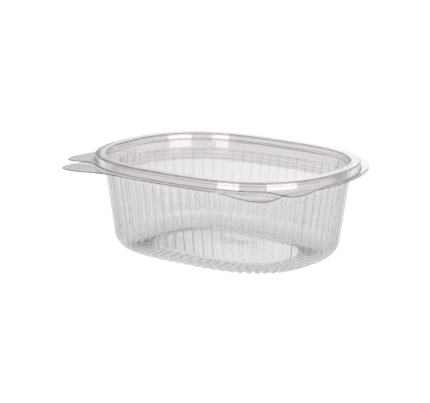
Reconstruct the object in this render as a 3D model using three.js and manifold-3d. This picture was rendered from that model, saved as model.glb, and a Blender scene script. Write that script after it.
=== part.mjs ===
// Clear hinged-lid meal container: an oval tub with fluted walls and a shallow recessed lid that
// shuts over the tub's rim. Both halves are thin clear sheet, folded together along the long back
// side. Millimetres, +Z up, front (the side with the finger tabs) towards -Y, lid shut.
import * as THREE from 'three';
import { mergeVertices } from 'three/addons/utils/BufferGeometryUtils.js';
import Module from 'manifold-3d';

const wasm = await Module();
wasm.setup();

// Plan outline of the lid ridge's outer top edge, a rounded oval:
// |x / HALF_LENGTH| ^ LENGTH_POWER + |y / HALF_WIDTH| ^ WIDTH_POWER = 1
const HALF_LENGTH = 90;
const HALF_WIDTH = 70.55;
const LENGTH_POWER = 2.93;
const WIDTH_POWER = 2.34;

const SHEET = 0.5; // thickness of the formed sheet
const EDGE_BEVEL = 0.6; // small rounding where the sheet turns a corner

// Heights of the shut container
const RIDGE_TOP_Z = 66.3;
const LID_FLANGE_Z = 60.7; // underside of the lid's flange
const TUB_FLANGE_Z = 59.15; // underside of the tub's flange
const LID_STEP_Z = 62.1;
const LID_PANEL_Z = 56.25; // underside of the lid's recessed panel
const BEAD_TOP_Z = 65.3;
const FLUTE_TOP_Z = 55;
const FLUTE_FADE_Z = 56.6;

// Distances inwards from the ridge outline, called insets
const RIDGE_WIDTH = 7;
const LID_WALL_LEAN = 0.7; // the ridge's outer wall leans out by this much at its foot
const LID_STEP_INSET = 8.3;
const LID_PANEL_INSET = 9.6;
const BEAD_OUTER_INSET = 1.0;
const BEAD_INNER_INSET = 5.95;
const WALL_INSET = 6.44; // outer face of the tub's wall at FLUTE_FADE_Z
const WALL_DRAFT = THREE.MathUtils.degToRad(7.9);

// Flutes, the upright ribs all round the tub's wall, which run on under its rounded foot
const FLUTES = 64;
const GROOVE_DEPTH = 1.2;
const GROOVE_HALF_SHARE = 0.26; // share of the pitch from the groove's bottom to the flat crest
const FOOT_ROUND = 13.1; // rounding between wall and underside
const FOOT_TURNS = [60, 30, 0]; // degrees round that rounding, from the underside up, with a ring
const FOOT_FLAT = 2; // width of the flat that each flute rests on

// The tub's raised floor panel, inside the ring of feet
const FLOOR_INSET = 40;
const FLOOR_Z = 2.6;
const FLOOR_RIM = 1.5; // width of the slope's last stretch, in which the grooves run out
const RIM_GROOVE_SHARE = 0.5; // depth of the grooves where that stretch begins

// Flanges: how far they reach outwards from the ridge outline
const FLANGE_REACH = 2.2;
const HINGE_Y = 77.6; // straight back edge, where lid and tub fold together
const LOBE_REACH = 9.1; // the flange widens by this much towards the hinge's ends
const LOBE_FROM = 8; // directions in degrees, from the short side's 0 to the back's 90
const LOBE_TO = 75;

// Finger tabs on the front corners. The tub's lie towards the long side, the lid's towards the
// short side, so that each can be pulled alone. Directions in degrees, the front being -90.
const TUB_TAB = { reach: 22, at: -53, frontSpread: 16, sideSpread: 12.5 };
const LID_TAB = { reach: 16.5, at: -37, frontSpread: 7.5, sideSpread: 18 };

// Lips at the back edge of both flanges, which meet at the fold
const HINGE_HALF_LENGTH = 40;
const LIP_INSET = 0.05;
const FOLD_GAP = 0.3;
const FOLD_Z = (TUB_FLANGE_Z + LID_FLANGE_Z + SHEET) / 2;

const COLUMNS_PER_FLUTE = 3;
const OUTLINE_SAMPLES = 7200;
const PITCH_INSET = 7.4; // flutes are evenly spaced along the outline at this inset

const clearSheet = new THREE.MeshStandardMaterial({
  color: 0xe6e9e8,
  roughness: 0.08,
  metalness: 0,
  transparent: true,
  opacity: 0.35,
});

// A point of the outline and the outward direction there, for the running angle t
function outlinePoint(t) {
  const c = Math.cos(t);
  const s = Math.sin(t);
  const x = HALF_LENGTH * Math.sign(c) * Math.abs(c) ** (2 / LENGTH_POWER);
  const y = HALF_WIDTH * Math.sign(s) * Math.abs(s) ** (2 / WIDTH_POWER);
  const gx = (LENGTH_POWER * Math.sign(c) * Math.abs(x / HALF_LENGTH) ** (LENGTH_POWER - 1)) / HALF_LENGTH;
  const gy = (WIDTH_POWER * Math.sign(s) * Math.abs(y / HALF_WIDTH) ** (WIDTH_POWER - 1)) / HALF_WIDTH;
  const out = new THREE.Vector2(gx, gy).normalize();
  return { edge: new THREE.Vector2(x, y), out };
}

// Points at the given shares of the outline's length, measured along it at an inset
function spacedAlong(inset, shares) {
  const dense = [];
  const run = [0];
  for (let k = 0; k <= OUTLINE_SAMPLES; k++) {
    dense.push(outlinePoint((2 * Math.PI * k) / OUTLINE_SAMPLES));
    if (k > 0) {
      const here = dense[k].edge.clone().addScaledVector(dense[k].out, -inset);
      const last = dense[k - 1].edge.clone().addScaledVector(dense[k - 1].out, -inset);
      run.push(run[k - 1] + here.distanceTo(last));
    }
  }
  let k = 0;
  return shares.map((share) => {
    const target = share * run[OUTLINE_SAMPLES];
    while (run[k + 1] < target) {
      k += 1;
    }
    const part = (target - run[k]) / (run[k + 1] - run[k]);
    return outlinePoint((2 * Math.PI * (k + part)) / OUTLINE_SAMPLES);
  });
}

// Three upright columns of points to each flute: the groove's bottom and the crest's two edges
const columnShares = [];
for (let flute = 0; flute < FLUTES; flute++) {
  columnShares.push(flute / FLUTES);
  columnShares.push((flute + GROOVE_HALF_SHARE) / FLUTES);
  columnShares.push((flute + 1 - GROOVE_HALF_SHARE) / FLUTES);
}
const columns = spacedAlong(PITCH_INSET, columnShares);
const rimColumns = columns.filter((column, index) => index % 2 === 0);

// The direction a column faces, folded onto the right half: -90 front, 0 short side, 90 back
function facing(column) {
  return THREE.MathUtils.radToDeg(Math.atan2(column.out.y, Math.abs(column.out.x)));
}

// A tab's share of its full reach in a direction, steeper on its side edge than on its front edge
function tabShare(tab, direction) {
  const spread = direction < tab.at ? tab.frontSpread : tab.sideSpread;
  return Math.exp(-(((direction - tab.at) / spread) ** 2));
}

// How far a flange reaches out from the ridge outline at a column
function flangeReach(column, tab) {
  const direction = facing(column);
  if (direction < LOBE_FROM) {
    return FLANGE_REACH + tab.reach * tabShare(tab, direction);
  }
  const lobe = FLANGE_REACH + LOBE_REACH * THREE.MathUtils.smoothstep(direction, LOBE_FROM, LOBE_TO);
  const toHinge = (HINGE_Y - column.edge.y) / column.out.y;
  return Math.min(lobe, toHinge);
}

// A ring of points, all at one inset (a number, or a function of the column) and one height
function ring(around, inset, z) {
  return around.map((column) => {
    const distance = typeof inset === 'function' ? inset(column) : inset;
    const at = column.edge.clone().addScaledVector(column.out, -distance);
    return new THREE.Vector3(at.x, at.y, z);
  });
}

// Joins rings, listed from the underside's middle outwards and back over the top to the middle,
// into one closed skin. A ring may have half or twice as many points as the one before it.
function closedSkin(bottomMiddle, rings, topMiddle) {
  const points = [];
  const faces = [];
  const starts = [];
  for (const one of rings) {
    starts.push(points.length / 3);
    one.forEach((p) => points.push(p.x, p.y, p.z));
  }
  const firstMiddle = points.length / 3;
  points.push(0, 0, bottomMiddle, 0, 0, topMiddle);
  const lastMiddle = firstMiddle + 1;
  for (let r = 0; r + 1 < rings.length; r++) {
    const aCount = rings[r].length;
    const bCount = rings[r + 1].length;
    const a = (k) => starts[r] + (k % aCount);
    const b = (k) => starts[r + 1] + (k % bCount);
    for (let k = 0; k < Math.min(aCount, bCount); k++) {
      if (aCount === bCount) {
        faces.push(a(k), a(k + 1), b(k + 1), a(k), b(k + 1), b(k));
      } else if (aCount > bCount) {
        const m = 2 * k + 1;
        faces.push(a(m - 1), a(m), b(k), a(m), b(k + 1), b(k), a(m), a(m + 1), b(k + 1));
      } else {
        const m = 2 * k + 1;
        faces.push(a(k), b(m), b(m - 1), a(k), a(k + 1), b(m), a(k + 1), b(m + 1), b(m));
      }
    }
  }
  const first = rings[0].length;
  const last = rings[rings.length - 1].length;
  const lastStart = starts[rings.length - 1];
  for (let k = 0; k < first; k++) {
    faces.push(firstMiddle, (k + 1) % first, k);
  }
  for (let k = 0; k < last; k++) {
    faces.push(lastMiddle, lastStart + k, lastStart + ((k + 1) % last));
  }
  return new wasm.Manifold(
    new wasm.Mesh({
      numProp: 3,
      vertProperties: new Float32Array(points),
      triVerts: new Uint32Array(faces),
    }),
  );
}

function solidFromGeometry(geometry) {
  geometry.deleteAttribute('normal');
  geometry.deleteAttribute('uv');
  const merged = mergeVertices(geometry);
  return new wasm.Manifold(
    new wasm.Mesh({
      numProp: 3,
      vertProperties: new Float32Array(merged.attributes.position.array),
      triVerts: new Uint32Array(merged.index.array),
    }),
  );
}

// The narrow lip along the back edge of a flange, from z low to z high
function hingeLip(low, high) {
  const lip = new THREE.BoxGeometry(2 * HINGE_HALF_LENGTH, SHEET, high - low);
  lip.translate(0, HINGE_Y - LIP_INSET - SHEET / 2, (low + high) / 2);
  return solidFromGeometry(lip);
}

// The bowl of the tub on one face of the sheet, from the floor panel out to the wall's plain top.
// rise is 0 for the underside face and SHEET for the inner face.
function bowlRings(rise) {
  const wallAt = (z) => WALL_INSET + (FLUTE_FADE_Z - z) * Math.tan(WALL_DRAFT);
  const wallFoot = wallAt(FOOT_ROUND);
  const footInset = wallFoot + FOOT_ROUND;
  const slope = new THREE.Vector2(FLOOR_INSET - footInset - FOOT_FLAT, FLOOR_Z);
  const slopeAngle = Math.atan2(slope.y, slope.x);
  const sections = [];
  // inset and z of the outer face, the sheet's inward lean there, and how deep the grooves are
  sections.push({ inset: FLOOR_INSET, z: FLOOR_Z, lean: Math.PI / 2, depth: 0 });
  const last = 1 - FLOOR_RIM / slope.x;
  sections.push({
    inset: footInset + FOOT_FLAT + slope.x * last,
    z: FLOOR_Z * last,
    lean: Math.PI / 2 + slopeAngle / 2,
    depth: RIM_GROOVE_SHARE,
  });
  sections.push({ inset: footInset + FOOT_FLAT, z: 0, lean: Math.PI / 2, depth: 1 });
  sections.push({ inset: footInset, z: 0, lean: Math.PI / 2, depth: 1 });
  for (const degrees of FOOT_TURNS) {
    const turn = THREE.MathUtils.degToRad(degrees);
    sections.push({
      inset: wallFoot + FOOT_ROUND * (1 - Math.cos(turn)),
      z: FOOT_ROUND * (1 - Math.sin(turn)),
      lean: turn,
      depth: 1,
    });
  }
  sections.push({ inset: wallAt(FLUTE_TOP_Z), z: FLUTE_TOP_Z, lean: 0, depth: 1 });
  sections.push({ inset: WALL_INSET, z: FLUTE_FADE_Z, lean: 0, depth: 0 });
  return sections.map(({ inset, z, lean, depth }) =>
    columns.map((column, index) => {
      const groove = index % COLUMNS_PER_FLUTE === 0 ? GROOVE_DEPTH * depth : 0;
      const inwards = inset + (rise + groove) * Math.cos(lean);
      const height = z + (rise + groove) * Math.sin(lean);
      const at = column.edge.clone().addScaledVector(column.out, -inwards);
      return new THREE.Vector3(at.x, at.y, height);
    }),
  );
}

function buildTub() {
  const reach = (column) => -flangeReach(column, TUB_TAB);
  const flangeTop = TUB_FLANGE_Z + SHEET;
  const beadFoot = BEAD_OUTER_INSET - LID_WALL_LEAN;
  const rim = [
    // underside: up inside the hollow bead, down its outer leg and out to the flange's edge
    [BEAD_INNER_INSET - SHEET, BEAD_TOP_Z - SHEET - EDGE_BEVEL / 2],
    [BEAD_INNER_INSET - SHEET - EDGE_BEVEL / 2, BEAD_TOP_Z - SHEET],
    [BEAD_OUTER_INSET + SHEET + EDGE_BEVEL / 2, BEAD_TOP_Z - SHEET],
    [BEAD_OUTER_INSET + SHEET, BEAD_TOP_Z - SHEET - EDGE_BEVEL / 2],
    [beadFoot + SHEET, TUB_FLANGE_Z],
    [reach, TUB_FLANGE_Z],
    // upper face: back along the flange, up the bead's outer leg, over its top and down inside
    [reach, flangeTop],
    [beadFoot, flangeTop],
    [BEAD_OUTER_INSET, BEAD_TOP_Z - EDGE_BEVEL],
    [BEAD_OUTER_INSET + EDGE_BEVEL, BEAD_TOP_Z],
    [BEAD_INNER_INSET - EDGE_BEVEL, BEAD_TOP_Z],
    [BEAD_INNER_INSET, BEAD_TOP_Z - EDGE_BEVEL],
  ].map(([inset, z]) => ring(rimColumns, inset, z));
  const rings = [...bowlRings(0), ...rim, ...bowlRings(SHEET).reverse()];
  const body = closedSkin(FLOOR_Z, rings, FLOOR_Z + SHEET);
  return body.add(hingeLip(TUB_FLANGE_Z + SHEET / 2, FOLD_Z - FOLD_GAP / 2));
}

function buildLid() {
  const reach = (column) => -flangeReach(column, LID_TAB);
  const flangeTop = LID_FLANGE_Z + SHEET;
  const panelTop = LID_PANEL_Z + SHEET;
  const rings = [
    // underside: panel, up the recess wall and its step, over the ridge, down and out
    [LID_PANEL_INSET - SHEET / 2, LID_PANEL_Z],
    [LID_PANEL_INSET - SHEET / 2 - EDGE_BEVEL, LID_PANEL_Z + EDGE_BEVEL],
    [LID_STEP_INSET - SHEET, LID_STEP_Z - SHEET],
    [RIDGE_WIDTH, LID_STEP_Z - EDGE_BEVEL / 2],
    [RIDGE_WIDTH - SHEET, RIDGE_TOP_Z - SHEET - EDGE_BEVEL / 2],
    [RIDGE_WIDTH - SHEET - EDGE_BEVEL / 2, RIDGE_TOP_Z - SHEET],
    [SHEET + EDGE_BEVEL / 2, RIDGE_TOP_Z - SHEET],
    [SHEET, RIDGE_TOP_Z - SHEET - EDGE_BEVEL / 2],
    [SHEET - LID_WALL_LEAN, LID_FLANGE_Z],
    [reach, LID_FLANGE_Z],
    // upper face, back the same way
    [reach, flangeTop],
    [-LID_WALL_LEAN - EDGE_BEVEL / 2, flangeTop],
    [-LID_WALL_LEAN, flangeTop + EDGE_BEVEL / 2],
    [0, RIDGE_TOP_Z - EDGE_BEVEL],
    [EDGE_BEVEL, RIDGE_TOP_Z],
    [RIDGE_WIDTH - EDGE_BEVEL, RIDGE_TOP_Z],
    [RIDGE_WIDTH, RIDGE_TOP_Z - EDGE_BEVEL],
    [RIDGE_WIDTH + SHEET, LID_STEP_Z + EDGE_BEVEL / 2],
    [LID_STEP_INSET, LID_STEP_Z - EDGE_BEVEL / 2],
    [LID_PANEL_INSET - EDGE_BEVEL, panelTop + EDGE_BEVEL],
    [LID_PANEL_INSET, panelTop],
  ].map(([inset, z]) => ring(rimColumns, inset, z));
  const body = closedSkin(LID_PANEL_Z, rings, panelTop);
  return body.add(hingeLip(FOLD_Z + FOLD_GAP / 2, LID_FLANGE_Z + SHEET / 2));
}

function namedMesh(name, solid, material) {
  const { vertProperties, triVerts } = solid.getMesh();
  const geometry = new THREE.BufferGeometry();
  geometry.setAttribute('position', new THREE.BufferAttribute(new Float32Array(vertProperties), 3));
  geometry.setIndex(new THREE.BufferAttribute(new Uint32Array(triVerts), 1));
  geometry.computeVertexNormals();
  const mesh = new THREE.Mesh(geometry, material);
  mesh.name = name;
  return mesh;
}

const group = new THREE.Group();
group.add(namedMesh('tub', buildTub(), clearSheet));
group.add(namedMesh('lid', buildLid(), clearSheet.clone()));

export default group;
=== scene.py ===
"""Dresses a clear hinged meal container: a fluted tub and its lid, formed from one thin sheet."""

import math

import bmesh
import bpy
from bpy.props import FloatProperty, FloatVectorProperty, IntProperty, PointerProperty
from mathutils import Matrix, Vector


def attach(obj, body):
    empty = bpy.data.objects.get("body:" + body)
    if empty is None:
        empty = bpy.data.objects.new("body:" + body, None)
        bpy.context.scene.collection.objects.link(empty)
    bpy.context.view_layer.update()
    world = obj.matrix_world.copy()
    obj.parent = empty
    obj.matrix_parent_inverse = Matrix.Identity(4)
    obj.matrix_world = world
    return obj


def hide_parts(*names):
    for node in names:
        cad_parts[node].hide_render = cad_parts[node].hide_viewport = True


bl_info = {
    "name": "Clear Meal Container",
    "version": (1, 0, 0),
    "blender": (4, 5, 0),
    "location": "3D View > Sidebar > Meal Container",
    "description": "Models a clear oval food tub with a hinged lid around its packed solids",
    "category": "Mesh",
}

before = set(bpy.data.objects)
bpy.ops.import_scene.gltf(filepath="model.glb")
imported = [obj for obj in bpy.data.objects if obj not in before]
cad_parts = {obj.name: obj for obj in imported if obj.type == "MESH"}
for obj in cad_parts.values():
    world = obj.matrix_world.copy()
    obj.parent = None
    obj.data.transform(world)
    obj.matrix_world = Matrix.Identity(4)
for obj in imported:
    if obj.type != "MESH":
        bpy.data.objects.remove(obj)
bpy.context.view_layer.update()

MM = 0.001
COLUMNS_PER_FLUTE = 10
OUTLINE_SAMPLES = 7200
# keeps the skin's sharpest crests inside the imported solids' outline
TRIM = 0.04 * MM
# insets past this one belong to the walls inside the rim
INNER_WALL = 5.2 * MM
# sharpness of the creases between flutes: narrow lines on the wall, broad scallops under the foot
WALL_CREST = 0.6
FOOT_CREST = 2.0
# from the floor panel out to the foot: shares of the way, of the panel's height and of the
# grooves' depth
FLOOR_EDGE = (
    (1.0, 1, 0),
    (0.95, 0.97, 0),
    (0.9, 0.89, 0.04),
    (0.84, 0.79, 0.16),
    (0.77, 0.69, 0.4),
    (0.69, 0.58, 0.72),
    (0.6, 0.46, 0.94),
    (0.45, 0.3, 1),
    (0.25, 0.13, 1),
    (0.1, 0.04, 1),
)
# steps of the foot's rounding, of the flutes' fading at their top, and of a section's bends
FOOT_TURNS = 12
FADE_STEPS = 4
BEND_STEPS = 5
# leans of the sheet round the foot: where the grooves turn shallow, and where they deepen again
CALM_IN = (0, math.radians(25))
CALM_OUT = (math.radians(50), math.radians(75))
CALM_SHARE = 0.8
# lean from which the crests are at their broadest, and leans between which the ribs take on painted
# shade
BROAD_LEAN = math.radians(50)
SHADE_LEANS = (math.radians(12), math.radians(42))
# painted shade in the hollows as a share of that on the ribs' crests, and painted shade of the
# lid's recess wall
HOLLOW_SHADE = 0.2
RECESS_SHADE = 0.42
# heights of the wall's rings in mm, close together where the stacking lug begins
WALL_HEIGHTS = (16, 30, 45, 50, 51.2, 51.9, 52.6, 53.3, 54)
# rings up the bead's inner face, for the stacking lug's top, as shares of the way
COLLAR_SHARES = (0, 0.08, 0.16, 0.24, 0.32, 0.4)
# rings from a flange's root to its edge, close together where it curls, as shares of the way
FLANGE_SHARES = (0.2, 0.45, 0.7, 0.85, 0.93, 0.97, 1.0)
# how far past the hinge's stretch the curl runs out
CURL_FADE = 6 * MM
# directions in degrees, as facing() gives them: the flanges' back lobes and the finger tabs
LOBE_FROM = 8
LOBE_TO = 75
TUB_TAB = {"at": -53, "front_spread": 16, "side_spread": 12.5}
LID_TAB = {"at": -37, "front_spread": 7.5, "side_spread": 18}
# half the width of the stacking lug's soft edge, and the middle and swing of its ribs' depth
LUG_SOFT = 1 * MM
RIB_MIDDLE = 0.65
RIB_SWING = 0.35
# shares of a snap button's radius between which it falls away
BUTTON_TOP = 0.35
BUTTON_FOOT = 1.1
# the lid's panel and recess: the first ring's distance from the edge, the steps up the wall,
# the bends of the small step, and the height above the panel where the wall's painted shade starts
PANEL_RING = 6 * MM
RECESS_STEPS = 14
STEP_BEND = 0.35 * MM
PANEL_CLEAR = 1 * MM

# the sheet's surface: its faint waves, its draw lines, and the roughness of its glossy parts
WAVE_SIZE = 14 * MM
DRAW_LINE_SIZE = 2.5 * MM
GLOSS = (0.02, 0.07)
# heights over which satin gives way to gloss, and draw lines set in above the floor and end
SATIN_TO_GLOSS = (56.9 * MM, 57.4 * MM)
DRAWN_FROM = (3.5 * MM, 14 * MM)
DRAWN_TO = (50 * MM, 57 * MM)
# upright squeeze of the draw lines' pattern, and roughness below the gloss
TUB_SURFACE = {"streak_height": 0.06, "satin": 0.04}
LID_SURFACE = {"streak_height": 1, "satin": 0.052}
PET_IOR = 1.575
SHEET_DENSITY = 100.0

# the studio table: size of its grain, and its glow through the container and to the camera
TABLE_GRAIN = 3 * MM
TABLE_GLOW = (0.74, 1.0)
# the studio room: upward share of a direction where wall turns to ceiling, and the light of each
CEILING_EDGE = (0.4, 0.75)
WALL_LIGHT = 0.71
CEILING_LIGHT = 0.1
# dark cloths: azimuths in degrees, cosines of the angle off their middle at both ends of their
# soft edge, and the share of light that they leave
CLOTHS = (249, 169)
CLOTH_EDGE = (0.788, 0.94)
CLOTH_LIGHT = 0.06
# soft lamps: azimuth in degrees; distance, width, height and middle's height in m; radiance
LAMPS = {
    "narrow_panel": (3, 1.7, 0.66, 0.9, 0.5, 1.9),
    "wide_panel": (69, 1.7, 1.3, 0.9, 0.5, 1.9),
    "back_panel": (210, 2.6, 1.1, 1.3, 0.7, 0.36),
}
# the camera, as fitted to the photo's outlines
CAMERA_AZIMUTH = math.radians(36.509)
CAMERA_ELEVATION = math.radians(13.196)
CAMERA_ROLL = math.radians(0.354)
CAMERA_DISTANCE = 1.3146
AIM_RIGHT = -7.92 * MM
AIM_UP = 33.337 * MM
FOCAL_PIXELS = 1927.8
PICTURE_WIDTH = 430


def linear(hex_colour):
    """A linear colour from an sRGB hex value."""
    shares = [int(hex_colour[i : i + 2], 16) / 255 for i in (0, 2, 4)]
    return [s / 12.92 if s <= 0.04045 else ((s + 0.055) / 1.055) ** 2.4 for s in shares]


def length(name, description, millimetres):
    return FloatProperty(
        name=name, description=description, default=millimetres * MM, unit="LENGTH", precision=5
    )


def turn(name, description, degrees):
    return FloatProperty(
        name=name, description=description, default=math.radians(degrees), subtype="ANGLE"
    )


def colour(name, description, hex_colour):
    return FloatVectorProperty(
        name=name,
        description=description,
        default=linear(hex_colour),
        subtype="COLOR",
        min=0,
        max=1,
    )


class SheetSizes(bpy.types.PropertyGroup):
    """The clear sheet that both halves are formed from."""

    thickness: length("Thickness", "Thickness of the formed sheet", 0.5)
    bend: length("Bend", "Radius of the sheet's middle where it turns a corner", 0.55)
    half_length: length("Half length", "Half the length of the lid ridge's outer top edge", 90)
    half_width: length("Half width", "Half the width of the lid ridge's outer top edge", 70.55)
    length_power: FloatProperty(
        name="Length power", description="Roundness of the ends", default=2.93
    )
    width_power: FloatProperty(
        name="Width power", description="Roundness of the sides", default=2.34
    )
    flange_reach: length("Flange reach", "How far the flanges stand out from the ridge", 2.2)
    lobe_reach: length("Lobe reach", "How much wider the flanges get towards the hinge", 9.08)
    hinge_y: length("Hinge line", "Distance of the fold behind the middle", 77.6)
    hinge_half: length("Hinge half length", "Half the stretch that curls into the fold", 42)
    fold_z: length("Fold height", "Height at which tub and lid fold together", 60.175)


class TubSizes(bpy.types.PropertyGroup):
    """The fluted bowl and its rim."""

    flutes: IntProperty(name="Flutes", description="Number of flutes round the wall", default=64)
    pitch_inset: length("Pitch line", "Inset at which the flutes are evenly spaced", 7.4)
    groove: length("Groove depth", "Depth of the creases between the flutes", 1.2)
    foot_groove: length("Foot groove depth", "Depth of the hollows between the foot's ribs", 1.5)
    flute_top: length("Flute top", "Height at which the flutes begin to run out", 55)
    collar_z: length("Collar height", "Height at which the wall is plain", 56.6)
    wall_inset: length("Wall inset", "Distance of the plain wall inside the ridge outline", 6.44)
    draft: turn("Draft", "Lean of the wall", 7.9)
    foot_round: length("Foot rounding", "Radius between wall and underside", 13.1)
    foot_flat: length("Foot flat", "Width of the flat that each flute rests on", 2)
    floor_inset: length("Floor inset", "Inset of the raised floor panel's edge", 40)
    floor_z: length("Floor height", "Height of the raised floor panel's underside", 2.6)
    bead_top: length("Bead top", "Height of the hollow bead round the rim", 65.3)
    bead_outer: length("Bead outside", "Inset of the bead's outer face", 1.0)
    bead_inner: length("Bead inside", "Inset of the bead's inner face", 5.95)
    flange_z: length("Flange height", "Height of the flange's underside", 59.15)
    tab_reach: length("Tab reach", "How far a finger tab stands out past the flange", 21.97)
    lug_middle: length("Lug place", "Middle of the left end's stacking lug, towards the back", -7)
    lug_half: length("Lug half width", "Half the width of the stacking lug", 12.5)
    lug_depth: length("Lug depth", "How far the stacking lug stands inwards", 1.3)
    lug_low: length("Lug foot", "Height of the stacking lug's lower edge", 51.5)
    lug_high: length("Lug top", "Height of the stacking lug's upper edge", 57.5)
    rib_pitch: length("Rib pitch", "Distance between the ribs of the stacking lug", 4.9)


class LidSizes(bpy.types.PropertyGroup):
    """The recessed lid and its ridge."""

    ridge_top: length("Ridge top", "Height of the ridge", 66.3)
    ridge_width: length("Ridge width", "Width of the ridge's flat top", 7)
    wall_lean: length("Wall lean", "How far the ridge's outer wall leans out at its foot", 0.7)
    step_z: length("Step height", "Height of the small step inside the ridge", 62.1)
    step_inset: length("Step inset", "Inset of the step's inner edge", 8.3)
    panel_z: length("Panel height", "Height of the recessed panel's underside", 56.25)
    panel_inset: length("Panel inset", "Inset of the recessed panel's edge", 9.6)
    flange_z: length("Flange height", "Height of the flange's underside", 60.7)
    tab_reach: length("Tab reach", "How far a finger tab stands out past the flange", 16.48)
    button_x: length("Button place", "Lengthwise distance of the buttons from the middle", 56.6)
    button_z: length("Button height", "Height of the snap buttons' middles", 58.2)
    button_radius: length("Button radius", "Radius of the round snap buttons", 2.7)
    button_depth: length("Button depth", "How far a snap button is pressed out", 1.2)


class LookColours(bpy.types.PropertyGroup):
    """Colours of the sheet and the studio."""

    sheet: colour("Sheet", "What the clear sheet lets through where it was hardly drawn", "fefdfd")
    drawn_dark: colour("Drawn, dark", "What the walls' hazier draw lines let through", "f1f0f1")
    drawn_light: colour("Drawn, light", "What the walls' clearer draw lines let through", "fdfdfd")
    shade: colour("Shade", "What the sheet lets through of lamp light", "fefefe")
    # painted shade: the foot's ribs, most on their crests, are tinted greyer than the clear sheet
    foot: colour("Foot ribs", "What the hazed crests of the foot's ribs let through", "ecebeb")
    inside: colour("Inside", "What is left of light that runs along inside the sheet", "c5c0bf")
    floor: colour("Floor", "Opal studio table", "8c8c8c")
    lamps: colour("Lamps", "Light of the soft panels", "fffdfa")


# Shaping


def outline_point(sheet, t):
    """The ridge outline's point at a running angle, and the outward direction there.

    The outline is a rounded oval.
    """
    halves = (sheet.half_length, sheet.half_width)
    powers = (sheet.length_power, sheet.width_power)
    waves = (math.cos(t), math.sin(t))
    point, out = [], []
    for half, power, wave in zip(halves, powers, waves):
        along = abs(wave) ** (2 / power)
        point.append(math.copysign(half * along, wave))
        out.append(math.copysign(power * along ** (power - 1) / half, wave))
    return Vector(point), Vector(out).normalized()


def outline_columns(sheet, pitch_inset, count):
    """Points of the outline with their outward directions, evenly spaced along it at an inset."""
    angles = [2 * math.pi * k / OUTLINE_SAMPLES for k in range(OUTLINE_SAMPLES + 1)]
    dense = [outline_point(sheet, angle) for angle in angles]
    line = [edge - out * pitch_inset for edge, out in dense]
    run = [0.0]
    for here, after in zip(line, line[1:]):
        run.append(run[-1] + (after - here).length)
    columns = []
    k = 0
    for column in range(count):
        target = run[-1] * column / count
        while run[k + 1] < target:
            k += 1
        part = (target - run[k]) / (run[k + 1] - run[k])
        columns.append(outline_point(sheet, 2 * math.pi * (k + part) / OUTLINE_SAMPLES))
    return columns


def smooth_step(value, start, end):
    share = min(max((value - start) / (end - start), 0), 1)
    return share * share * (3 - 2 * share)


def facing(out):
    """The direction a column faces in degrees, left as right: -90 front, 0 end, 90 back."""
    return math.degrees(math.atan2(out.y, abs(out.x)))


def curl_share(sheet, edge):
    """1 where the flange curls into the fold, 0 away from the hinge."""
    return 1 - smooth_step(abs(edge.x), sheet.hinge_half, sheet.hinge_half + CURL_FADE)


def flange_reach(sheet, edge, out, tab):
    """How far a flange reaches out from the ridge outline at a column."""
    direction = facing(out)
    if direction < LOBE_FROM:
        spread = tab["front_spread"] if direction < tab["at"] else tab["side_spread"]
        swell = math.exp(-(((direction - tab["at"]) / spread) ** 2))
        return sheet.flange_reach + tab["reach"] * swell
    lobe = sheet.flange_reach + sheet.lobe_reach * smooth_step(direction, LOBE_FROM, LOBE_TO)
    curl = curl_share(sheet, edge) * (sheet.thickness / 2 + 2 * TRIM)
    return min(lobe, (sheet.hinge_y - curl - edge.y) / out.y)


def rounded(corners, steps):
    """A section line through corners (inset, height, radius), each corner turned as an arc."""
    line = []
    for k, (inset, height, radius) in enumerate(corners):
        here = Vector((inset, height))
        if radius == 0 or k in (0, len(corners) - 1):
            line.append(here)
            continue
        before = (Vector(corners[k - 1][:2]) - here).normalized()
        after = (Vector(corners[k + 1][:2]) - here).normalized()
        half_turn = before.angle(after) / 2
        back = radius / math.tan(half_turn)
        middle = here + (before + after).normalized() * radius / math.sin(half_turn)
        start = here + before * back - middle
        end = here + after * back - middle
        sweep = start.angle(end)
        for step in range(steps + 1):
            share = step / steps
            turned = start * math.sin((1 - share) * sweep) + end * math.sin(share * sweep)
            line.append(middle + turned / math.sin(sweep))
    return line


def lug_rise(tub, edge, height):
    """How far the ribbed stacking lug stands in from the wall at a column and height.

    The lug is inside the left end only.
    """
    if edge.x > 0:
        return 0
    along = edge.y - tub.lug_middle
    across = 1 - smooth_step(abs(along), tub.lug_half - LUG_SOFT, tub.lug_half + LUG_SOFT)
    up = smooth_step(height, tub.lug_low - LUG_SOFT, tub.lug_low + LUG_SOFT)
    up *= 1 - smooth_step(height, tub.lug_high - LUG_SOFT, tub.lug_high + LUG_SOFT)
    rib = RIB_MIDDLE + RIB_SWING * math.cos(2 * math.pi * along / tub.rib_pitch)
    return tub.lug_depth * across * up * rib


def button_push(lid, edge, height):
    """How far a round snap button is pressed out of the recess wall at a column and height."""
    away = math.hypot(abs(edge.x) - lid.button_x, height - lid.button_z) / lid.button_radius
    return lid.button_depth * (1 - smooth_step(away, BUTTON_TOP, BUTTON_FOOT))


def select_only(obj):
    bpy.ops.object.select_all(action="DESELECT")
    obj.select_set(True)
    bpy.context.view_layer.objects.active = obj


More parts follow.
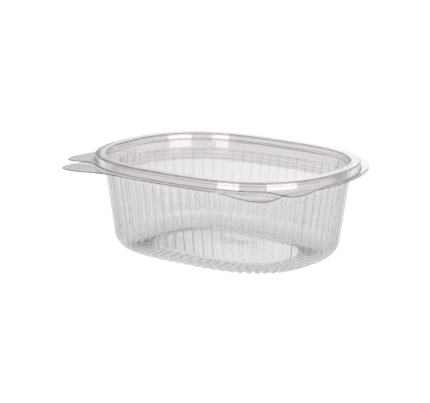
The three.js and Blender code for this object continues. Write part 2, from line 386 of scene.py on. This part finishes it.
def loft(name, rings, painted_shades):
    """A sheet drawn outwards ring by ring, with its inside filled.

    A circle is laid on the first ring and extruded to each next one. The rings that the last
    argument has values for carry a share of painted shade in each column, and the rest carry none.
    """
    bpy.ops.object.select_all(action="DESELECT")
    bpy.ops.mesh.primitive_circle_add(vertices=len(rings[0]), radius=MM, fill_type="NOTHING")
    skin = bpy.context.object
    skin.name = skin.data.name = name
    bpy.ops.object.mode_set(mode="EDIT")
    bpy.ops.mesh.select_mode(type="EDGE")
    bpy.ops.mesh.select_all(action="SELECT")
    bpy.ops.mesh.edge_face_add()
    bpy.ops.mesh.select_all(action="SELECT")
    mesh = bmesh.from_edit_mesh(skin.data)
    column = mesh.verts.layers.int.new("column")
    mesh.verts.layers.float.new("painted_shade")
    mesh.verts.ensure_lookup_table()
    for k, vertex in enumerate(mesh.verts):
        vertex[column] = k
        vertex.co = rings[0][k]
    bmesh.update_edit_mesh(skin.data)
    for step, ring in enumerate(rings[1:], 1):
        bpy.ops.mesh.select_all(action="DESELECT")
        mesh = bmesh.from_edit_mesh(skin.data)
        mesh.edges.ensure_lookup_table()
        for edge in mesh.edges:
            edge.select_set(edge.is_boundary)
        bpy.ops.mesh.extrude_edges_indiv()
        mesh = bmesh.from_edit_mesh(skin.data)
        column = mesh.verts.layers.int["column"]
        painted_shade = mesh.verts.layers.float["painted_shade"]
        for vertex in mesh.verts:
            if vertex.select:
                vertex.co = ring[vertex[column]]
                vertex[painted_shade] = painted_shades[step][vertex[column]] if step < len(painted_shades) else 0
        bmesh.update_edit_mesh(skin.data)
    bpy.ops.mesh.select_all(action="SELECT")
    bpy.ops.object.mode_set(mode="OBJECT")
    return skin


def thicken(skin, thickness):
    """Gives the sheet its thickness, half on each side, and smooth faces with crisp cut edges."""
    select_only(skin)
    wall = skin.modifiers.new("Sheet thickness", "SOLIDIFY")
    wall.thickness = thickness
    wall.offset = 0
    wall.use_even_offset = True
    bpy.ops.object.modifier_apply(modifier=wall.name)
    bpy.ops.object.mode_set(mode="EDIT")
    bpy.ops.mesh.select_all(action="SELECT")
    bpy.ops.mesh.normals_make_consistent(inside=False)
    bpy.ops.object.mode_set(mode="OBJECT")
    bpy.ops.object.shade_smooth_by_angle(angle=math.radians(50))


def dress(piece, body, material):
    piece.data.materials.clear()
    piece.data.materials.append(material)
    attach(piece, body)
    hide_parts(body)


def flange_rings(sheet, columns, start_inset, height, tab, curl_up):
    """Rings from the flange's root to its edge, curled up or down into the fold along the hinge."""
    radius = abs(sheet.fold_z - height)
    rings = []
    for share in FLANGE_SHARES:
        ring = []
        for edge, out in columns:
            reach = flange_reach(sheet, edge, out, tab)
            distance = -start_inset + (reach + start_inset) * share
            at = edge + out * distance
            gap = max(reach - distance, 0) * max(out.y, 0)
            lift = 0
            if gap < radius and out.y > 0:
                lift = radius - math.sqrt(radius**2 - (radius - gap) ** 2)
            lift *= curl_share(sheet, edge) * (edge.y > 0)
            ring.append(Vector((at.x, at.y, height + lift * curl_up)))
        rings.append(ring)
    return rings


def tub_rings(sheet, tub, columns):
    """Rings of the floor, foot and wall, and how much painted shade each of their points carries.

    The foot's ribs carry painted shade, most on their crests.
    """
    half = sheet.thickness / 2
    wall_foot = tub.wall_inset + (tub.collar_z - tub.foot_round) * math.tan(tub.draft)
    foot_inset = wall_foot + tub.foot_round
    slope_end = foot_inset + tub.foot_flat
    slope = tub.floor_inset - slope_end
    flat = math.pi / 2
    # each station: inset and height of the outer face, the sheet's inward lean there, and the
    # shares of the grooves and of the painted shade
    stations = []
    for share, rise, depth in FLOOR_EDGE:
        inset = slope_end + slope * share
        stations.append((inset, tub.floor_z * rise, flat, depth, min(1, 2 * depth)))
    for share in (1, 0):
        stations.append((foot_inset + tub.foot_flat * share, TRIM / 2, flat, 1, 1))
    for step in range(1, FOOT_TURNS + 1):
        lean = flat * (1 - step / FOOT_TURNS)
        inset = wall_foot + tub.foot_round * (1 - math.cos(lean))
        calm = smooth_step(lean, *CALM_IN) * (1 - smooth_step(lean, *CALM_OUT))
        z = max(tub.foot_round * (1 - math.sin(lean)), TRIM / 2)
        shaded = smooth_step(lean, *SHADE_LEANS)
        stations.append((inset, z, lean, 1 - CALM_SHARE * calm, shaded))
    for height in WALL_HEIGHTS:
        z = height * MM
        inset = tub.wall_inset + (tub.collar_z - z) * math.tan(tub.draft)
        stations.append((inset, z, 0, 1, 0))
    for step in range(FADE_STEPS + 1):
        share = step / FADE_STEPS
        z = tub.flute_top + (tub.collar_z - tub.flute_top) * share
        inset = tub.wall_inset + (tub.collar_z - z) * math.tan(tub.draft)
        stations.append((inset, z, 0, 1 - smooth_step(share, 0, 1), 0))
    rings, painted_shades = [], []
    for inset, z, lean, share, shaded in stations:
        ring, painted_shade = [], []
        under = smooth_step(lean, 0, BROAD_LEAN)
        sharpness = WALL_CREST + (FOOT_CREST - WALL_CREST) * under
        depth = tub.groove + (tub.foot_groove - tub.groove) * under
        for k, (edge, out) in enumerate(columns):
            crest = abs(math.sin(math.pi * k / COLUMNS_PER_FLUTE)) ** sharpness
            groove = depth * (1 - crest) * share
            lug = lug_rise(tub, edge, z) * (lean == 0)
            inwards = inset + (half + groove) * math.cos(lean) + lug
            height = z + (half + groove) * math.sin(lean)
            ring.append(Vector((*(edge - out * inwards), height)))
            painted_shade.append(shaded * (HOLLOW_SHADE + (1 - HOLLOW_SHADE) * crest))
        rings.append(ring)
        painted_shades.append(painted_shade)
    return rings, painted_shades


def section_rings(columns, line, push):
    """Rings along a section line of insets and heights.

    push(edge, height) gives how far the wall inside the rim moves outwards at a column.
    """
    rings = []
    for inset, height in line:
        ring = []
        for edge, out in columns:
            move = push(edge, height) if inset > INNER_WALL else 0
            ring.append(Vector((*(edge - out * (inset - move)), height)))
        rings.append(ring)
    return rings


# Materials


def add_node(tree, kind, settings=None, links=None):
    """Adds a node with its properties and input values, and links outputs to its inputs."""
    node = tree.nodes.new(kind)
    for name, value in (settings or {}).items():
        if isinstance(name, str) and hasattr(node, name):
            setattr(node, name, value)
        else:
            node.inputs[name].default_value = value
    for name, source in (links or {}).items():
        tree.links.new(source, node.inputs[name])
    return node


def formed_clear_sheet(name, colours, streak_height, satin):
    """Clear PET sheet, vacuum formed: glassy, with faint waves that bend what is seen through it.

    Upright draw lines leave the walls slightly hazy. The foot's ribs and the lid's recess wall
    are tinted a little greyer: painted shade.
    """
    material = bpy.data.materials.new(name)
    material.use_nodes = True
    tree = material.node_tree
    tree.nodes.clear()
    place = add_node(tree, "ShaderNodeTexCoord").outputs["Object"]
    stretched = add_node(
        tree, "ShaderNodeMapping", {"Scale": (1, 1, streak_height)}, {"Vector": place}
    ).outputs[0]
    waves = add_node(
        tree, "ShaderNodeTexNoise", {"Scale": 1 / WAVE_SIZE, "Detail": 2.0}, {"Vector": place}
    ).outputs["Fac"]
    streaks = add_node(
        tree,
        "ShaderNodeTexNoise",
        {"Scale": 1 / DRAW_LINE_SIZE, "Detail": 2.0},
        {"Vector": stretched},
    ).outputs["Fac"]
    wavy = add_node(
        tree, "ShaderNodeBump", {"Strength": 0.25, "Distance": 0.15 * MM}, {"Height": waves}
    ).outputs["Normal"]
    drawn = add_node(
        tree,
        "ShaderNodeBump",
        {"Strength": 0.25, "Distance": 0.025 * MM},
        {"Height": streaks, "Normal": wavy},
    ).outputs["Normal"]
    gloss = add_node(
        tree, "ShaderNodeMapRange", {"To Min": GLOSS[0], "To Max": GLOSS[1]}, {"Value": waves}
    ).outputs[0]
    height = add_node(tree, "ShaderNodeSeparateXYZ", None, {0: place}).outputs["Z"]
    # below the gloss lie the lid's panel and nearly all of the tub's walls, a little satin
    low, high = SATIN_TO_GLOSS
    roughness = add_node(
        tree,
        "ShaderNodeMapRange",
        {"From Min": low, "From Max": high, "To Min": satin},
        {"Value": height, "To Max": gloss},
    ).outputs[0]
    low, high = DRAWN_FROM
    above_floor = add_node(
        tree,
        "ShaderNodeMapRange",
        {"interpolation_type": "SMOOTHSTEP", "From Min": low, "From Max": high},
        {"Value": height},
    ).outputs[0]
    low, high = DRAWN_TO
    in_wall = add_node(
        tree,
        "ShaderNodeMapRange",
        {"interpolation_type": "SMOOTHSTEP", "From Min": low, "From Max": high, "To Max": 0.0},
        {"Value": height, "To Min": above_floor},
    ).outputs[0]
    draw_lines = add_node(
        tree,
        "ShaderNodeMixRGB",
        {"Color1": (*colours.drawn_dark, 1), "Color2": (*colours.drawn_light, 1)},
        {"Fac": streaks},
    ).outputs[0]
    drawn_tint = add_node(
        tree,
        "ShaderNodeMixRGB",
        {"Color1": (*colours.sheet, 1)},
        {"Fac": in_wall, "Color2": draw_lines},
    ).outputs[0]
    # painted shade read from the mesh: greyer on the foot's ribs, most on their crests, and on the
    # lid's recess wall
    ribs = add_node(tree, "ShaderNodeAttribute", {"attribute_name": "painted_shade"}).outputs["Fac"]
    tint = add_node(
        tree,
        "ShaderNodeMixRGB",
        {"Color2": (*colours.foot, 1)},
        {"Fac": ribs, "Color1": drawn_tint},
    ).outputs[0]
    sheet = add_node(
        tree,
        "ShaderNodeBsdfPrincipled",
        {"IOR": PET_IOR, "Transmission Weight": 1.0},
        {"Base Color": tint, "Roughness": roughness, "Normal": drawn},
    )
    clear = add_node(tree, "ShaderNodeBsdfTransparent", {"Color": (*colours.shade, 1)})
    lamp_ray = add_node(tree, "ShaderNodeLightPath").outputs["Is Shadow Ray"]
    mix = add_node(
        tree, "ShaderNodeMixShader", None, {0: lamp_ray, 1: sheet.outputs[0], 2: clear.outputs[0]}
    )
    inside = add_node(
        tree,
        "ShaderNodeVolumeAbsorption",
        {"Color": (*colours.inside, 1), "Density": SHEET_DENSITY},
    )
    output = add_node(tree, "ShaderNodeOutputMaterial", None, {"Surface": mix.outputs[0]})
    tree.links.new(inside.outputs[0], output.inputs["Volume"])
    return material


def opal_table(colours):
    """Opal acrylic table lit from below: a white ground, free of shadow, under a clear object."""
    material = bpy.data.materials.new("Opal acrylic table")
    material.use_nodes = True
    tree = material.node_tree
    tree.nodes.clear()
    place = add_node(tree, "ShaderNodeTexCoord").outputs["Object"]
    grain = add_node(
        tree, "ShaderNodeTexNoise", {"Scale": 1 / TABLE_GRAIN}, {"Vector": place}
    ).outputs["Fac"]
    rough = add_node(
        tree, "ShaderNodeBump", {"Strength": 0.02, "Distance": 0.1 * MM}, {"Height": grain}
    )
    # white to the camera's own rays, as the photo's ground is, and pale grey to all others, so
    # also where the table is seen through the container
    glow = add_node(
        tree,
        "ShaderNodeMapRange",
        {"To Min": TABLE_GLOW[0], "To Max": TABLE_GLOW[1]},
        {"Value": add_node(tree, "ShaderNodeLightPath").outputs["Is Camera Ray"]},
    ).outputs[0]
    paint = add_node(
        tree,
        "ShaderNodeBsdfPrincipled",
        {
            "Base Color": (*colours.floor, 1),
            "Roughness": 0.9,
            "Specular IOR Level": 0.1,
            "Emission Color": (1, 1, 1, 1),
        },
        {"Normal": rough.outputs[0], "Emission Strength": glow},
    )
    add_node(tree, "ShaderNodeOutputMaterial", None, {"Surface": paint.outputs[0]})
    return material


# Operators


class MEALBOX_OT_tub(bpy.types.Operator):
    """Model the fluted tub with its bead, flange and finger tabs"""

    bl_idname = "mealbox.tub"
    bl_label = "Tub"

    def execute(self, context):
        sheet = context.scene.mealbox_sheet
        tub = context.scene.mealbox_tub
        half = sheet.thickness / 2
        count = tub.flutes * COLUMNS_PER_FLUTE
        wall = outline_columns(sheet, tub.pitch_inset, count)
        rings, painted_shades = tub_rings(sheet, tub, wall)
        bead_foot = tub.bead_outer - context.scene.mealbox_lid.wall_lean
        flange_middle = tub.flange_z + half
        root = bead_foot + half
        wall_foot = (tub.wall_inset + half, tub.collar_z)
        bead_edge = (tub.bead_inner - half, tub.bead_top - half)
        collar = [Vector(wall_foot).lerp(bead_edge, share) for share in COLLAR_SHARES]
        corners = [
            *((*place, 0) for place in collar),
            (*bead_edge, sheet.bend),
            (tub.bead_outer + half, tub.bead_top - half, sheet.bend),
            (root, flange_middle, sheet.bend),
            (root - 2 * sheet.bend, flange_middle, 0),
        ]
        line = rounded(corners, BEND_STEPS)
        rings += section_rings(wall, line[1:-1], lambda edge, height: -lug_rise(tub, edge, height))
        tab = {"reach": tub.tab_reach, **TUB_TAB}
        rings += flange_rings(sheet, wall, line[-2].x, flange_middle, tab, 1)
        piece = loft("fluted_tub", rings, painted_shades)
        thicken(piece, sheet.thickness)
        clear = formed_clear_sheet("Clear PET tub", context.scene.mealbox_colours, **TUB_SURFACE)
        dress(piece, "tub", clear)
        return {"FINISHED"}


class MEALBOX_OT_lid(bpy.types.Operator):
    """Model the recessed lid with its ridge, flange and finger tabs"""

    bl_idname = "mealbox.lid"
    bl_label = "Lid"

    def execute(self, context):
        sheet = context.scene.mealbox_sheet
        lid = context.scene.mealbox_lid
        half = sheet.thickness / 2
        count = context.scene.mealbox_tub.flutes * COLUMNS_PER_FLUTE
        columns = outline_columns(sheet, 0, count)
        panel_middle = lid.panel_z + half
        flange_middle = lid.flange_z + half
        wall_foot = (lid.panel_inset - half, panel_middle)
        wall_head = (lid.step_inset - half, lid.step_z - half)
        # the wall's lowest and highest steps are left to its bends
        steps = range(3, RECESS_STEPS - 1)
        wall = [Vector(wall_foot).lerp(wall_head, step / RECESS_STEPS) for step in steps]
        corners = [
            (lid.panel_inset + PANEL_RING, panel_middle, 0),
            (*wall_foot, sheet.bend),
            *((*place, 0) for place in wall),
            (*wall_head, STEP_BEND),
            (lid.ridge_width + half, lid.step_z, STEP_BEND),
            (lid.ridge_width - half, lid.ridge_top - half, sheet.bend),
            (half, lid.ridge_top - half, sheet.bend),
            (half - lid.wall_lean, flange_middle, sheet.bend),
            (-lid.wall_lean - 2 * sheet.bend, flange_middle, 0),
        ]
        line = rounded(corners, BEND_STEPS)
        rings = section_rings(
            columns, line[:-1], lambda edge, height: button_push(lid, edge, height)
        )
        tab = {"reach": lid.tab_reach, **LID_TAB}
        rings += flange_rings(sheet, columns, line[-2].x, flange_middle, tab, -1)
        in_wall = lid.panel_z + PANEL_CLEAR
        # painted shade on the recess wall above the panel
        painted_shades = [
            [RECESS_SHADE * (inset > lid.step_inset and height > in_wall)] * count
            for inset, height in line[:-1]
        ]
        piece = loft("recessed_lid", rings, painted_shades)
        thicken(piece, sheet.thickness)
        clear = formed_clear_sheet("Clear PET lid", context.scene.mealbox_colours, **LID_SURFACE)
        dress(piece, "lid", clear)
        return {"FINISHED"}


def soft_panel(name, azimuth, distance, width, height, middle, radiance, tint):
    """A soft panel lamp that stands beside the container and faces it."""
    lamp = bpy.data.lights.new(name, "AREA")
    lamp.shape = "RECTANGLE"
    lamp.size = width
    lamp.size_y = height
    lamp.color = tint
    lamp.energy = radiance * math.pi * width * height
    aim = Vector((0, 0, middle))
    place = Vector((math.sin(azimuth), -math.cos(azimuth), 0)) * distance + aim
    panel = bpy.data.objects.new(name, lamp)
    panel.location = place
    panel.rotation_euler = (aim - place).to_track_quat("-Z", "Y").to_euler()
    bpy.context.scene.collection.objects.link(panel)
    panel.visible_camera = False


class MEALBOX_OT_studio(bpy.types.Operator):
    """Set the pale floor, the soft panels and the camera"""

    bl_idname = "mealbox.studio"
    bl_label = "Studio"

    def execute(self, context):
        colours = context.scene.mealbox_colours
        scene = context.scene
        bpy.ops.object.select_all(action="DESELECT")
        bpy.ops.mesh.primitive_circle_add(vertices=96, radius=14, fill_type="NGON")
        floor = context.object
        floor.name = "studio_floor"
        floor.data.materials.append(opal_table(colours))

        world = bpy.data.worlds.new("Studio room")
        scene.world = world
        world.use_nodes = True
        tree = world.node_tree
        tree.nodes.clear()
        ray = add_node(tree, "ShaderNodeTexCoord").outputs["Generated"]
        height = add_node(tree, "ShaderNodeSeparateXYZ", None, {0: ray}).outputs["Z"]
        strength = add_node(
            tree,
            "ShaderNodeMapRange",
            {
                "interpolation_type": "SMOOTHSTEP",
                "From Min": CEILING_EDGE[0],
                "From Max": CEILING_EDGE[1],
                "To Min": WALL_LIGHT,
                "To Max": CEILING_LIGHT,
            },
            {"Value": height},
        ).outputs[0]
        # dark cloth to the left and right behind the container gives its ends their grey
        for azimuth in map(math.radians, CLOTHS):
            cloth = (math.sin(azimuth), -math.cos(azimuth), 0)
            towards = add_node(
                tree, "ShaderNodeVectorMath", {"operation": "DOT_PRODUCT", 1: cloth}, {0: ray}
            ).outputs["Value"]
            remaining = add_node(
                tree,
                "ShaderNodeMapRange",
                {
                    "interpolation_type": "SMOOTHSTEP",
                    "From Min": CLOTH_EDGE[0],
                    "From Max": CLOTH_EDGE[1],
                    "To Min": 1.0,
                    "To Max": CLOTH_LIGHT,
                },
                {"Value": towards},
            ).outputs[0]
            strength = add_node(
                tree, "ShaderNodeMath", {"operation": "MULTIPLY"}, {0: strength, 1: remaining}
            ).outputs[0]
        light = add_node(
            tree, "ShaderNodeBackground", {"Color": (1, 1, 1, 1)}, {"Strength": strength}
        )
        add_node(tree, "ShaderNodeOutputWorld", None, {"Surface": light.outputs[0]})

        for name, (azimuth, *sizes) in LAMPS.items():
            soft_panel(name, math.radians(azimuth), *sizes, colours.lamps)

        right = Vector((math.cos(CAMERA_AZIMUTH), math.sin(CAMERA_AZIMUTH), 0))
        back = Vector(
            (
                math.sin(CAMERA_AZIMUTH) * math.cos(CAMERA_ELEVATION),
                -math.cos(CAMERA_AZIMUTH) * math.cos(CAMERA_ELEVATION),
                math.sin(CAMERA_ELEVATION),
            )
        )
        up = back.cross(right)
        aim = right * AIM_RIGHT + up * AIM_UP
        eye = aim + back * CAMERA_DISTANCE
        rolled_right = right * math.cos(CAMERA_ROLL) + up * math.sin(CAMERA_ROLL)
        rolled_up = up * math.cos(CAMERA_ROLL) - right * math.sin(CAMERA_ROLL)
        view = bpy.data.cameras.new("camera")
        camera = bpy.data.objects.new("camera", view)
        scene.collection.objects.link(camera)
        turn_to = Matrix((rolled_right, rolled_up, back)).transposed().to_4x4()
        camera.matrix_world = Matrix.Translation(eye) @ turn_to
        view.sensor_width = 36
        view.lens = FOCAL_PIXELS * view.sensor_width / PICTURE_WIDTH
        view.clip_end = 60
        scene.camera = camera

        scene.view_settings.view_transform = "Standard"
        scene.cycles.max_bounces = 40
        scene.cycles.transmission_bounces = 40
        scene.cycles.glossy_bounces = 16
        scene.cycles.transparent_max_bounces = 24
        return {"FINISHED"}


class MEALBOX_PT_panel(bpy.types.Panel):
    """Lists the container's operators and sizes"""

    bl_idname = "MEALBOX_PT_panel"
    bl_label = "Meal Container"
    bl_space_type = "VIEW_3D"
    bl_region_type = "UI"
    bl_category = "Meal Container"

    def draw(self, context):
        for step in STEPS:
            self.layout.operator(step.bl_idname)
        for group in SETTINGS:
            settings = getattr(context.scene, group)
            box = self.layout.box()
            for name in settings.__annotations__:
                box.prop(settings, name)


STEPS = (MEALBOX_OT_tub, MEALBOX_OT_lid, MEALBOX_OT_studio)
SETTINGS = {
    "mealbox_sheet": SheetSizes,
    "mealbox_tub": TubSizes,
    "mealbox_lid": LidSizes,
    "mealbox_colours": LookColours,
}


def register():
    for group in (*SETTINGS.values(), *STEPS, MEALBOX_PT_panel):
        bpy.utils.register_class(group)
    for name, group in SETTINGS.items():
        setattr(bpy.types.Scene, name, PointerProperty(type=group))


def unregister():
    for name in SETTINGS:
        delattr(bpy.types.Scene, name)
    for group in (MEALBOX_PT_panel, *reversed(STEPS), *SETTINGS.values()):
        bpy.utils.unregister_class(group)


def main():
    register()
    bpy.ops.mealbox.tub()
    bpy.ops.mealbox.lid()
    bpy.ops.mealbox.studio()


if __name__ == "__main__":
    main()
